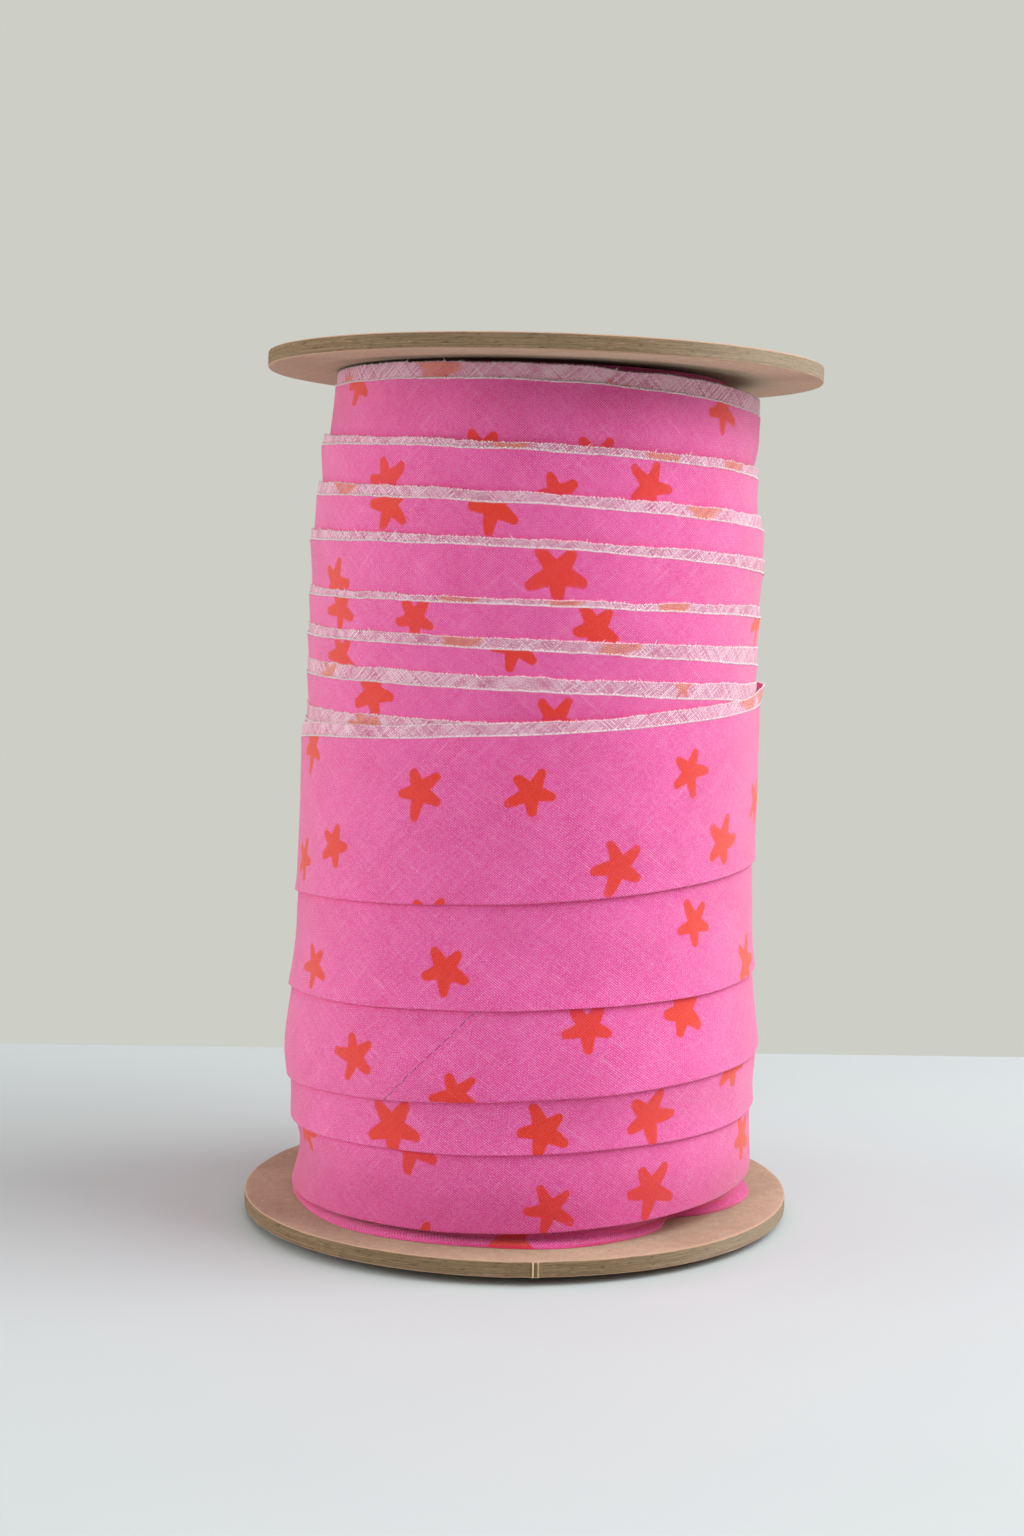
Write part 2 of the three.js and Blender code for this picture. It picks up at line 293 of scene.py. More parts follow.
def up_surface(angle, height):
    """Radius of an up-wound turn's outer face, found in the same way from the folds.  Past the
    binding's end nothing covers a turn, so it comes out to the roll's outside."""
    folds = [smooth_through(FOLD_KNOTS, angle + TURN * j) for j in range(4)]
    cover = np.zeros(np.broadcast(angle, height).shape)
    for j, (this, above) in enumerate(zip(folds, folds[1:])):
        covered = 1 - smooth_step(END_ANGLE, END_ANGLE + 45, angle + TURN * (j + 1))
        cover = cover + covered * np.clip((height - this) / np.maximum(above - this, 0.4), 0, 1)
    radius = smooth_through(UP_RADII, height) - STEP * cover + dimples(angle, height)
    flare = FLARE * np.exp(-np.maximum(height - folds[0], 0) / FLARE_FADE)
    return radius + flare + foot_push(angle, height) + seam_bulk(angle, height) + end_curl(angle, height)


def foot_push(angle, height):
    """In or out at the lowest turn's fold, where it is pressed against the disc.  The push dies away
    just above the fold, or, where the fold buckles inwards, over the height that shows.  Over the
    fold the cloth lies back by the recess, which dies away under the next turn."""
    foot = smooth_through(FOOT_RADII, round_the_roll(angle)) - smooth_through(UP_RADII, FOOT_HEIGHT)
    shows = np.maximum(smooth_through(FOLD_KNOTS, angle + TURN) - FOOT_HEIGHT, 1.0)
    rise = height - FOOT_HEIGHT
    reach = FOOT_FADE + (BUCKLE_FADE * shows - FOOT_FADE) * smooth_step(0.5, 3.0, -foot)
    push = foot * (1 - smooth_step(0, 1, rise / reach))
    recess = FOOT_RECESS * smooth_step(0.7, 1.4, rise) * (1 - smooth_step(shows + 1, shows + 9, rise))
    return (push - recess) * (1 - smooth_step(-215, -165, angle))


def end_curl(angle, height):
    """The inner layer's raw edge springs off the roll for a short way on the right."""
    raw = smooth_through(FOLD_KNOTS, angle) + WIDTH
    return CURL_HEIGHT * bell(angle, CURL_ANGLE, CURL_WIDTH) * smooth_step(-1.2, 2.2, height - raw)


def seam_bulk(angle, height):
    """The join's pressed-open allowances raise the cloth on both sides of its line, which runs at
    45 degrees over the strip."""
    along = np.radians(angle - SEAM_ANGLE) * MEAN_RADIUS
    off = (along - (height - smooth_through(FOLD_KNOTS, angle))) / math.sqrt(2)
    return SEAM_BULK * (1 - smooth_step(SEAM_ALLOWANCE - 3, SEAM_ALLOWANCE, np.abs(off)))


def vectors(*parts):
    """One array of vectors from arrays of their parts, each stretched to the shape of all."""
    return np.stack(np.broadcast_arrays(*parts), -1)


def on_roll(angle, radius, height):
    """Points of the leaning roll, in metres, from angle, radius and height."""
    turned = np.radians(angle)
    x = AXIS_FOOT + AXIS_LEAN * height + radius * np.sin(turned)
    return vectors(x, -radius * np.cos(turned), height) * MM


# The two runs of the binding: where each begins and ends; its surface, fold and lip as functions; the
# distances from the fold and the degrees round it that its cross-section has points at; between
# which distances it shows; and what goes before it on the flat strip.
DOWN = {
    "name": "binding_wound_down", "first": DOWN_START, "last": DOWN_END,
    "surface": down_surface, "fold": lambda angle: raw_edge(angle) - WIDTH, "lip": down_lip,
    "rise": (32, 31.5, 30, 27.5, 25, 22, 19, 15, 10, 5, 0.3), "bend": (0,),
    "shows": (WIDTH - 22, WIDTH + 1), "before": -3000.0,
}
UP = {
    "name": "binding_wound_up", "first": FOOT_TURN, "last": END_ANGLE,
    "surface": up_surface, "fold": fold_edge, "lip": up_lip,
    "rise": (32, 31.5, 30, 27.5, 25, 22, 19, 16, 13, 10, 7.5, 5, 3, 1.5, 0.7, 0.3),
    "bend": (60, 30, 0, -45), "shows": (-6, 27), "before": 0.0,
}


def tape_length(run, angle):
    """Millimetres along the flat strip: the turns wound down come before those wound up."""
    return np.radians(angle) * MEAN_RADIUS + run["before"]


def cloth_point(run, angle, limb, across, side):
    """A point of the folded cloth as (radius, height).  limb is +1 on the outer layer and -1 on the
    inner one; across is the distance from the fold, where 32 to 33 stands for the strip that the
    inner layer shows; side is +1 on the printed face and -1 on the wrong side."""
    rise = across
    if limb < 0:
        rise = np.minimum(across, WIDTH) + np.maximum(across - WIDTH, 0) * run["lip"](angle)
    height = run["fold"](angle) + rise
    surface = run["surface"](angle, height)
    middle = surface - CLOTH / 2 if limb > 0 else surface - FOLDED + CLOTH / 2
    return middle + limb * side * CLOTH / 2, height, rise


def bend_point(run, angle, bend, side):
    """A point of the fold: a half circle from one layer to the other."""
    fold = run["fold"](angle)
    middle = run["surface"](angle, fold) - FOLDED / 2
    reach = (FOLDED - CLOTH) / 2 + side * CLOTH / 2
    turned = math.radians(bend)
    across = math.radians(bend) * FOLDED / 4
    radius = middle + reach * math.sin(turned)
    height = fold + FOLDED / 2 - reach * math.cos(turned)
    return radius, height, across


def closed_mesh(name, points, corners, sizes=4):
    """Mesh from points, the corners of all its faces in a row, and each face's number of corners, or
    one number for all."""
    if np.isscalar(sizes):
        sizes = np.full(len(corners) // sizes, sizes)
    points = points.reshape(-1, 3).astype(np.float32)
    mesh = bpy.data.meshes.new(name)
    mesh.vertices.add(len(points))
    mesh.vertices.foreach_set("co", points.ravel())
    mesh.loops.add(len(corners))
    mesh.loops.foreach_set("vertex_index", np.asarray(corners, np.int32))
    mesh.polygons.add(len(sizes))
    starts = np.concatenate([[0], np.cumsum(sizes)[:-1]])
    mesh.polygons.foreach_set("loop_start", starts.astype(np.int32))
    mesh.update(calc_edges=True)
    return mesh


def grid_quads(rows, around):
    """Corners of the quads over a grid of points, row after row.  Each row is a closed ring."""
    row, place = around * np.arange(rows - 1)[:, None], np.arange(around)
    beside = (place + 1) % around
    return vectors(row + place, row + beside, row + around + beside, row + around + place).reshape(-1, 4)


def weld(mesh):
    """Joins points that lie on one another: the ring of points at the middle of a disc."""
    shape = bmesh.new()
    shape.from_mesh(mesh)
    bmesh.ops.remove_doubles(shape, verts=shape.verts, dist=0.0005 * MM)
    shape.to_mesh(mesh)
    shape.free()


def write_uv(mesh, name, places, corners):
    """A UV layer in metres, from a pair in millimetres for each point and the corners' points."""
    pairs = places.reshape(-1, 2)[corners] * MM
    mesh.uv_layers.new(name=name).data.foreach_set("uv", pairs.astype(np.float32).ravel())


def write_vectors(mesh, name, domain, values):
    """An attribute of three numbers for each point or face corner."""
    mesh.attributes.new(name, "FLOAT_VECTOR", domain).data.foreach_set("vector", values.ravel())


def add_object(name, data):
    """An object at the origin, in the scene."""
    thing = bpy.data.objects.new(name, data)
    bpy.context.scene.collection.objects.link(thing)
    return thing


def show(mesh, slot, *finishes, crease=50):
    """The object of a finished mesh, riding on the part's only body.  It is shaded smooth, but for
    edges that bend by more than the crease in degrees."""
    mesh.polygons.foreach_set("use_smooth", np.ones(len(mesh.polygons), bool))
    mesh.set_sharp_from_angle(angle=math.radians(crease))
    for finish in finishes:
        mesh.materials.append(MATERIALS[finish])
    piece = add_object(mesh.name, mesh)
    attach(piece, "root")
    return piece


def wound_strip(run, stars):
    """The folded cloth swept along its helix.  Each column is a closed section: the printed face
    from the outer raw edge round the fold to the inner one, and the wrong side back again."""
    angle = np.arange(run["first"], run["last"] + COLUMN / 2, COLUMN)
    stations = [(1, across, None) for across in run["rise"]]
    stations += [(0, 0, bend) for bend in run["bend"]]
    stations += [(-1, across, None) for across in (*run["rise"][::-1], WIDTH + 0.5, WIDTH + 1)]
    rows = []
    for side in (1, -1):
        for limb, across, bend in stations[::side]:
            if limb:
                radius, height, rise = cloth_point(run, angle, limb, across, side)
                signed = limb * rise
            else:
                radius, height, signed = bend_point(run, angle, bend, side)
            rows.append((radius, height, np.broadcast_to(signed, angle.shape)))
    radii, heights, across = (np.stack(row, 1) for row in zip(*rows))
    columns, ring = radii.shape
    quads = grid_quads(columns, ring)
    face = ring // 2  # points of each section on the printed face
    k = np.arange(face - 1)
    start_cap = np.stack([k, ring - 1 - k, ring - 2 - k, k + 1], -1)
    end_cap = start_cap[:, ::-1] + (columns - 1) * ring
    corners = np.concatenate([quads, start_cap, end_cap]).ravel()
    mesh = closed_mesh(run["name"], on_roll(angle[:, None], radii, heights), corners)
    tape = vectors(tape_length(run, angle)[:, None], across)
    write_uv(mesh, "tape", tape, corners)
    write_vectors(mesh, "star", "CORNER", nearest_stars(tape.reshape(-1, 2)[corners], stars))
    wrong = np.ones(len(corners) // 4, np.int32)
    wrong[: len(quads)] = np.arange(len(quads)) % ring >= face - 1
    mesh.polygons.foreach_set("material_index", wrong)
    piece = show(mesh, "printed_cotton", "printed face", "wrong side")
    return piece


NO_STAR = 9.0  # written where no star is near
STAR_REACH = 2.2  # a face belongs to a star within so many of its arms
STAR_MARGIN = 12  # millimetres along the strip within which a star is looked for
BLOCK = 4096  # faces looked at together


def nearest_stars(tape, stars):
    """For each corner of the faces, its place in the star nearest to the face's middle: along the
    star's first arm and across it, where the arms reach 1, and the star's own number."""
    faces = tape.reshape(-1, 4, 2)
    middles = faces.mean(1)
    local = np.full((len(faces), 4, 3), NO_STAR, np.float32)
    order = np.argsort(stars["along"])
    along = stars["along"][order]
    for first in range(0, len(middles), BLOCK):
        block = slice(first, first + BLOCK)
        low, high = middles[block, 0].min() - STAR_MARGIN, middles[block, 0].max() + STAR_MARGIN
        near = order[np.searchsorted(along, low): np.searchsorted(along, high)]
        if len(near) == 0:
            continue
        off = faces[block, None] - vectors(stars["along"][near], stars["across"][near])[None, :, None]
        gap = np.linalg.norm(off.mean(2), axis=-1) / stars["size"][near]
        best = gap.argmin(1)
        row = np.arange(len(best))
        own = near[best]
        turned = np.radians(stars["tilt"][own])[:, None]
        x, y = np.moveaxis(off[row, best] / stars["size"][own][:, None, None], -1, 0)
        cos, sin = np.cos(turned), np.sin(turned)
        place = vectors(x * cos + y * sin, y * cos - x * sin, stars["number"][own][:, None])
        local[block] = np.where((gap[row, best] < STAR_REACH)[:, None, None], place, NO_STAR)
    return local


# -------- finishes

WEAVE = ((-38, 0.40), (43, 0.33))  # each family's degrees from the strip's length, and pitch in mm
# A star's round body and its arms' half widths, as shares of an arm's length.
STAR = {"body": 0.39, "root": 0.34, "tip": 0.14, "arms": 5}


def paint(red, green, blue):
    """Linear colour of an 8-bit screen colour."""
    screen = np.array([red, green, blue]) / 255
    linear = np.where(screen <= 0.04045, screen / 12.92, ((screen + 0.055) / 1.055) ** 2.4)
    return (*linear.tolist(), 1.0)


def put(tree, node, inputs):
    """Sets inputs of a node, by name or number: a link from a Term's socket, or a plain constant."""
    for key, value in inputs.items():
        if isinstance(value, Term):
            tree.links.new(value.socket, node.inputs[key])
        else:
            node.inputs[key].default_value = value


def make_node(tree, kind, inputs, **settings):
    """A new node with its settings and inputs."""
    node = tree.nodes.new(kind)
    for key, value in settings.items():
        setattr(node, key, value)
    put(tree, node, inputs)
    return node


class Term:
    """A number or colour inside a finish.  Sums written with it become Math nodes."""

    def __init__(self, tree, socket):
        self.tree = tree
        self.socket = socket

    def math(self, operation, *others):
        inputs = dict(enumerate((self, *others)))
        node = make_node(self.tree, "ShaderNodeMath", inputs, operation=operation)
        return Term(self.tree, node.outputs[0])

    def __add__(self, other):
        return self.math("ADD", other)

    def __sub__(self, other):
        return self.math("SUBTRACT", other)

    def __mul__(self, other):
        return self.math("MULTIPLY", other)

    def __truediv__(self, other):
        return self.math("DIVIDE", other)

    def step(self, low, high):
        """0 at low and 1 at high, smooth between."""
        inputs = {"Value": self, "From Min": low, "From Max": high}
        node = make_node(self.tree, "ShaderNodeMapRange", inputs, interpolation_type="SMOOTHSTEP")
        return Term(self.tree, node.outputs[0])


class Finish:
    """A material being made: its node tree, its shader, and the nodes that several finishes share."""

    def __init__(self, name, roughness, sheen=0.0):
        self.material = bpy.data.materials.new(name)
        self.material.use_nodes = True
        self.tree = self.material.node_tree
        self.shader = self.tree.nodes["Principled BSDF"]
        put(self.tree, self.shader, {
            "Roughness": roughness, "Specular IOR Level": 0.25, "Sheen Weight": sheen,
            "Sheen Roughness": 0.5, "Sheen Tint": (1, 0.86, 0.62, 1),
        })

    def read(self, kind, output=0, inputs=None, **settings):
        """One output of a new node."""
        return Term(self.tree, make_node(self.tree, kind, inputs or {}, **settings).outputs[output])

    def split(self, vector):
        """The three numbers of a vector."""
        node = make_node(self.tree, "ShaderNodeSeparateXYZ", {0: vector})
        return [Term(self.tree, out) for out in node.outputs]

    def point(self, x, y, z=0.0):
        return self.read("ShaderNodeCombineXYZ", inputs={0: x, 1: y, 2: z})

    def uv(self, layer):
        """The layer's two values in millimetres."""
        u, v, _ = self.split(self.read("ShaderNodeUVMap", uv_map=layer))
        return u / MM, v / MM

    def attribute(self, name):
        return self.split(self.read("ShaderNodeAttribute", "Vector", attribute_name=name))

    def object_point(self):
        """The three coordinates in millimetres."""
        return [axis / MM for axis in self.split(self.read("ShaderNodeTexCoord", "Object"))]

    def chance(self, *place):
        """A random number, the same for the same place."""
        return self.read("ShaderNodeTexWhiteNoise", "Value", {"Vector": self.point(*place)},
                         noise_dimensions="3D")

    def cloud(self, *place, scale=1.0, detail=2.0):
        """Soft noise around 0.5 whose patches are about 1 / scale across."""
        inputs = {"Vector": self.point(*place), "Scale": scale, "Detail": detail}
        return self.read("ShaderNodeTexNoise", "Fac", inputs, noise_dimensions="3D")

    def crease(self, reach):
        """How much of the sky nearby surfaces hide within a reach in millimetres: 0 open, 1 closed."""
        return self.read("ShaderNodeAmbientOcclusion", "AO", {"Distance": reach * MM}, samples=6) * -1.0 + 1.0

    def mix(self, share, first, second, blend="MIX"):
        """Colour between first and second."""
        return self.read("ShaderNodeMix", 2, {0: share, 6: first, 7: second},
                         data_type="RGBA", blend_type=blend, clamp_factor=True)

    def shade(self, colour, amount):
        """The colour made darker or lighter: multiplied by the amount."""
        return self.read("ShaderNodeVectorMath", 0, {0: colour, "Scale": amount}, operation="SCALE")

    def done(self, colour, height=None, depth=0.05, strength=1.0):
        """Joins colour and relief (depth in millimetres) to the shader."""
        put(self.tree, self.shader, {"Base Color": colour})
        if height is not None:
            bump = {"Strength": strength, "Distance": depth * MM, "Height": height}
            put(self.tree, self.shader, {"Normal": self.read("ShaderNodeBump", inputs=bump)})
        return self.material


def star_mask(finish, soft=0.035):
    """1 inside a star, from the "star" layer.  The plane is turned so that the nearest arm lies on
    the x axis; the arm is as wide as its taper says and round at its end; a round body joins them."""
    x, y, number = finish.attribute("star")
    x = x + (finish.cloud(x * 1.3, y * 1.3, number * 9.7) - 0.5) * 0.12
    y = y + (finish.cloud(y * 1.3, x * 1.3, number * 5.3) - 0.5) * 0.12
    sector = math.radians(360 / STAR["arms"])
    turned = y.math("ARCTAN2", x)
    arm = (turned / sector).math("ROUND")
    length = finish.chance(arm, number, 0.5) * 0.28 + 0.84
    sway = (finish.chance(arm, number, 7.5) - 0.5) * 0.22
    off = turned - arm * sector + sway * (x * x + y * y).math("MINIMUM", 1.0)
    reach = (x * x + y * y).math("SQRT")
    along = reach * off.math("COSINE")
    across = reach * off.math("SINE")
    plump = finish.chance(number, 2.5) * 0.24 + 0.89
    half = ((along / length).math("MINIMUM", 1.0) * (STAR["tip"] - STAR["root"]) + STAR["root"]) * plump
    past = (along - length + STAR["tip"]).math("MAXIMUM", 0.0)
    arm_edge = (past * past + across * across).math("SQRT") - half
    edge = arm_edge.math("SMOOTH_MIN", reach - STAR["body"], 0.05)
    return edge.step(soft, -soft), number


def weave(finish):
    """Plain weave from two families of threads.  Returns the relief from 0 to 1, the upper thread's
    tint, a random number for each crossing, which family is on top (0 or 1), the thick places in the
    threads, and the place on the strip."""
    u, v = finish.uv("tape")
    drift = finish.cloud(u, v, scale=0.06) * 0.8
    families = []
    for degrees, pitch in WEAVE:
        turned = math.radians(degrees)
        place = (v * math.cos(turned) - u * math.sin(turned) + drift) / pitch
        along = u * math.cos(turned) + v * math.sin(turned)
        index = place.math("FLOOR")
        hump = ((place - index) * math.pi).math("SINE")
        tint = finish.chance(index, degrees)
        slub = finish.cloud(index * 3.7, along * 0.11, degrees, detail=1.0)
        families.append((index, hump, tint, slub))
    (first, hump_1, tint_1, slub_1), (second, hump_2, tint_2, slub_2) = families
    upper = (first + second).math("FLOORED_MODULO", 2.0)
    over = hump_1 + (hump_2 - hump_1) * upper
    under = hump_2 + (hump_1 - hump_2) * upper
    relief = over * (under * 0.45 + 0.55)
    tint = tint_1 + (tint_2 - tint_1) * upper
    slub = slub_1.math("MAXIMUM", slub_2)
    fleck = finish.chance(first, second, 2.5)
    return relief, tint, fleck, upper, slub, (u, v)


def printed_face():
    """Pink ground with red stars, printed on plain-woven cotton, with one dark line at the join.  It is
    paler on the crowns of the threads.  Painted shade darkens the hollows between the threads and the
    roll's two ends, and makes the creases redder, as light bounced between the layers would."""
    finish = Finish("printed cotton", roughness=0.82, sheen=0.48)
    star, number = star_mask(finish)
    relief, tint, fleck, upper, slub, (u, v) = weave(finish)
    patches = finish.cloud(u, v, scale=0.09, detail=3.0)
    ground = finish.mix(patches.step(0.3, 0.7), paint(237, 69, 156), paint(244, 81, 167))
    print_share = star * (finish.chance(number, 3.0) * 0.08 + 0.9)
    colour = finish.mix(print_share, ground, paint(239, 48, 6))
    pale = relief.step(0.25, 1.0) * (fleck * 0.6 + tint * 0.2 + upper * 0.2) * 0.45
    bare = (slub.step(0.60, 0.80) * 0.11 + pale) * (star * -0.8 + 1.0)
    colour = finish.mix(bare, colour, paint(255, 210, 232))
    # Painted shade: the colour is scaled by the thread relief, darker in the hollows between the threads; the
    # tint term is each thread's own tone.
    level = (relief * 0.45 + 0.68) * (tint * 0.06 + 0.97)
    _, _, height = finish.object_point()
    # Painted shade: the lowest turns are darkened, and the turns just under the top disc by half as much, in
    # place of the shade that falls there.
    ends = height.step(22.0, 9.0) + height.step(156.0, 166.0) * 0.5
    colour = finish.mix(ends, colour, paint(236, 215, 228), blend="MULTIPLY")
    # Painted shade: where nearby cloth hides the sky, in the creases under each fold, the colour goes towards
    # a deep red in place of light bounced between the layers.
    crease = finish.crease(1.6) * 0.85
    colour = finish.mix(crease, finish.shade(colour, level), paint(255, 56, 136))
    join = seam_line(finish, u, v)
    colour = finish.mix(join, colour, paint(150, 40, 95))
    return finish.done(colour, relief - join * 1.5, depth=0.09, strength=0.55)


def seam_line(finish, u, v):
    """1 on the join's line at 45 degrees, with a small kink at each stitch."""
    start = math.radians(SEAM_ANGLE) * MEAN_RADIUS
    kink = (v * (math.pi / 1.1)).math("SINE") * 0.07
    off = ((u - start - v) / math.sqrt(2) + kink).math("ABSOLUTE")
    return off.step(0.15, 0.05) * v.step(-0.5, 0.1) * 0.7


def wrong_side():
    """The cloth's back: pale, with the ground and the stars showing through the threads."""
    finish = Finish("cotton wrong side", roughness=0.9, sheen=0.3)
    star, _ = star_mask(finish, soft=0.09)
    relief, tint, fleck, upper, slub, (u, v) = weave(finish)
    patches = finish.cloud(u, v, scale=0.25, detail=3.0)
    ground = finish.mix(patches.step(0.3, 0.7), paint(206, 100, 142), paint(222, 132, 168))
    seeps = upper * 0.4 + tint.step(0.1, 0.5) * 0.35 + 0.25
    colour = finish.mix(star * seeps, ground, paint(222, 96, 62))
    bare = (relief.step(0.2, 0.8) * (fleck * 0.5 + 0.36) + (tint - 0.48) * 0.9).math("MAXIMUM", 0.0)
    colour = finish.mix(bare, colour, finish.mix(star * seeps, paint(252, 222, 234), paint(236, 146, 112)))
    # Painted shade: darker in the hollows between the threads, by the relief.
    colour = finish.shade(colour, relief * 0.60 + 0.60)
    return finish.done(colour, relief, depth=0.10, strength=0.6)


def loose_threads():
    """Thread ends at the raw edges: dyed at the root, bare cotton at the tip."""
    finish = Finish("raw thread ends", roughness=0.9, sheen=0.5)
    tip, chance, pale = finish.attribute("thread")
    root = finish.mix(pale, paint(240, 176, 206), paint(236, 200, 214))
    colour = finish.mix(tip.step(0.0, 0.45), root, paint(255, 244, 248))
    return finish.done(finish.shade(colour, chance * 0.10 + 0.92))


def stitch_thread():
    """Two-ply sewing thread: light and dark bands that slant across each stitch, painted light and shade of
    its twisted plies.
    """
    finish = Finish("sewing thread", roughness=0.55)
    u, v = finish.uv("tape")
    plies = ((u * 7.0 + v * 16.0) * math.pi).math("SINE") * 0.5 + 0.5
    # Painted light and shade: the pale and dark bands stand in for the light on the plies' crowns and the
    # shade between them.
    colour = finish.mix(plies, paint(176, 92, 130), paint(236, 196, 212))
    return finish.done(colour, plies, depth=0.04, strength=0.6)


def chipboard_face():
    """Recycled board: warm grey-brown liner with short fibres and dark specks.  The underside of the
    top disc is painted paler, as painted light bounced up from the table, and darker in front near the
    windings, as a painted shadow."""
    finish = Finish("chipboard face", roughness=0.78)
    x, y, z = finish.object_point()
    patches = finish.cloud(x, y, z, scale=0.05, detail=4.0)
    grain = finish.cloud(x, y * 2.6, z, scale=1.5, detail=5.0)
    fibres = finish.cloud(x * 0.7, y * 4.0, z, scale=0.9, detail=3.0)
    specks = finish.cloud(x, y, z, scale=2.6, detail=1.0)
    blotches = finish.cloud(x, y, z, scale=0.45, detail=4.0)
    out = x - AXIS_FOOT - z * AXIS_LEAN
    on_top_disc = z.step(100.0, 101.0)
    under_top = (z - TOP_MIDDLE[2] + out * math.tan(TOP_TILT)).step(0.5, -0.5) * on_top_disc
    warm = finish.mix(patches.step(0.35, 0.65), paint(171, 143, 120), paint(184, 156, 132))
    pale = finish.mix(patches.step(0.35, 0.65), paint(193, 168, 140), paint(207, 182, 153))
    # Painted light: the underside of the top disc gets the paler colour, in place of the light bounced up to
    # it from the table.
    colour = finish.mix(under_top, warm, pale)
    colour = finish.mix(fibres.step(0.56, 0.70) * 0.5, colour, paint(222, 190, 166))
    colour = finish.mix(specks.step(0.64, 0.74) * 0.7, colour, paint(118, 92, 78))
    colour = finish.shade(colour, grain * 0.4 + blotches * 0.3 + 0.63)
    # Painted shadow: the underside of the top disc is darkened in front near the windings, where their shade
    # falls on it.
    painted_shadow = (out * out + y * y).math("SQRT").step(48.5, 44.5) * y.step(-10.0, -38.0) * under_top
    colour = finish.shade(colour, painted_shadow * -0.55 + 1.0)
    return finish.done(colour, grain + fibres * 0.5, depth=0.05, strength=0.5)


def line_at(off, place, reach, core):
    """1 on a fine line across the rim at a place, and 0 beyond its reach."""
    return (off - place).math("ABSOLUTE").step(reach, core)


def chipboard_rim():
    """The cut rim: thin grey-brown plies, torn a little by the die, between two pale liners.  It is
    painted paler on its right, as painted light from that side.  At the nib its ridges are painted
    pale, liner colour that also stands in for the light they catch, and dark lines beside them are
    painted shade."""
    finish = Finish("chipboard rim", roughness=0.88)
    u, v = finish.uv("board")
    plies = finish.cloud(u * 0.05, v * 5.0, detail=3.0)
    tears = finish.cloud(u * 0.5, v * 3.0, 4.0, detail=4.0)
    dust = finish.cloud(u * 3.0, v * 6.0, 9.0, detail=2.0)
    colour = finish.mix(plies.step(0.3, 0.7), paint(118, 95, 70), paint(148, 123, 93))
    colour = finish.mix(tears.step(0.58, 0.78) * 0.4, colour, paint(196, 180, 152))
    colour = finish.mix(tears.step(0.44, 0.30) * 0.7, colour, paint(72, 60, 44))
    x, _, z = finish.object_point()
    # Painted light: paler towards the right, where the light falls.
    colour = finish.mix(x.step(15.0, 50.0) * 0.3, colour, paint(196, 180, 160))
    off = u - math.radians(NIB["angle"]) * DISC_RADIUS
    on_bottom_disc = z.step(100.0, 90.0)
    left, right = (place for place, _ in NIB["ridges"])
    # Partly painted highlight: the ridges get a pale liner colour that also stands in for the light they
    # catch.
    ridges = (line_at(off, left, 0.22, 0.08) + line_at(off, right, 0.18, 0.08) * 0.6) * on_bottom_disc
    colour = finish.mix(ridges * 0.8, colour, paint(226, 200, 160))
    # Painted shade: dark lines beside the ridges, where a groove's shade would fall.
    groove = (line_at(off, -0.12, 0.2, 0.05) + line_at(off, -0.85, 0.2, 0.05)) * on_bottom_disc
    colour = finish.mix(groove * 0.5, colour, paint(80, 64, 46))
    liner = (v - BOARD / 2).math("ABSOLUTE").step(BOARD / 2 - 0.30, BOARD / 2 - 0.18)
    colour = finish.mix(liner * 0.8, colour, paint(200, 158, 132))
    colour = finish.shade(colour, dust * 0.4 + 0.80)
    return finish.done(colour, plies + tears, depth=0.15, strength=0.6)


def table_paint():
    """Plain pale paint with a faint unevenness."""
    finish = Finish("table paint", roughness=0.6)
    x, y, z = finish.object_point()
    patches = finish.cloud(x * 0.003, y * 0.009, z * MM, detail=3.0)
    colour = finish.mix(patches, paint(189, 194, 193), paint(197, 202, 201))
    return finish.done(colour)


MATERIALS = {
    "printed face": printed_face(), "wrong side": wrong_side(), "thread ends": loose_threads(),
    "stitches": stitch_thread(), "board face": chipboard_face(), "board rim": chipboard_rim(),
    "table": table_paint(),
}


# -------- the print's stars

STAR_SIZE = 5.2
STAR_GAP = 12.0  # least distance between two stars' middles
STAR_SHARE = 450.0  # square millimetres of cloth to a star
FRONT = 95  # stars on the front have set places, out to this angle
TRIES = 9000  # random places looked at in each run

# Places of the stars that show on the front of each turn, as (angle, height), with a size and the
# tilt of one arm for some of them, and of those whose back shows on the inner layer's strip.
DOWN_STARS = {
    0: [(-58, 169.3), (-15, 154.8), (14, 153.5), (53, 164.7, 1.0, -92)],
    1: [(-41, 149.5), (4, 146.8), (27.5, 149.0)],
    2: [(-39, 145.1), (-11, 144.8, 1.1)],
    3: [(-60, 130), (4.5, 132.2, 1.2)],
    4: [(-56, 125), (-30, 123.5), (14, 122, 1.0, -95), (76, 123.5)],
    5: [(-55, 116), (-5, 118.6)],
    6: [(-42, 109, 1.2), (5, 104.4)],
}
DOWN_STRIP_STARS = {
    0: [(-66, 170, 0.6), (-29, 170.7, 1.3), (19, 165.3, 0.8, 90)],
    1: [(-8, 156.6, 1.1), (30, 154.5), (58, 153.8)],
    2: [(-57, 148.7), (44, 144.4)],
    4: [(-18, 127), (6, 127), (36, 126)],
    5: [(-19, 119.5), (19, 119)],
    6: [(-61, 111.5, 0.8), (38, 110.7, 0.45)],
    7: [(-45, 101.6)],
}
UP_STARS = {
    -1: [(-1, 4.4)],
    0: [(-65, 19.4), (-26, 22.2, 1.2), (7, 11), (32, 13.3), (70, 18), (-22, 2.6, 0.9, 90)],
    1: [(-31, 25.1, 1.15), (5, 26.3, 1.1), (30.5, 28, 1.15), (59, 34.6)],
    2: [(-42, 38), (14.5, 46.2, 1.15), (40, 47.5), (-15, 33)],
    3: [(-61, 53.5), (-19, 56.5), (44, 64.6), (70, 54.2)],
    4: [(-67, 97), (-26.5, 90.6), (0, 91), (40, 94.5), (-54, 78.3), (-72, 73.8), (21, 76.7), (53.5, 80),
        (-23, 65.8), (75, 87)],
}
UP_STRIP_STARS = {4: [(68, 106.8), (81, 108.8)]}


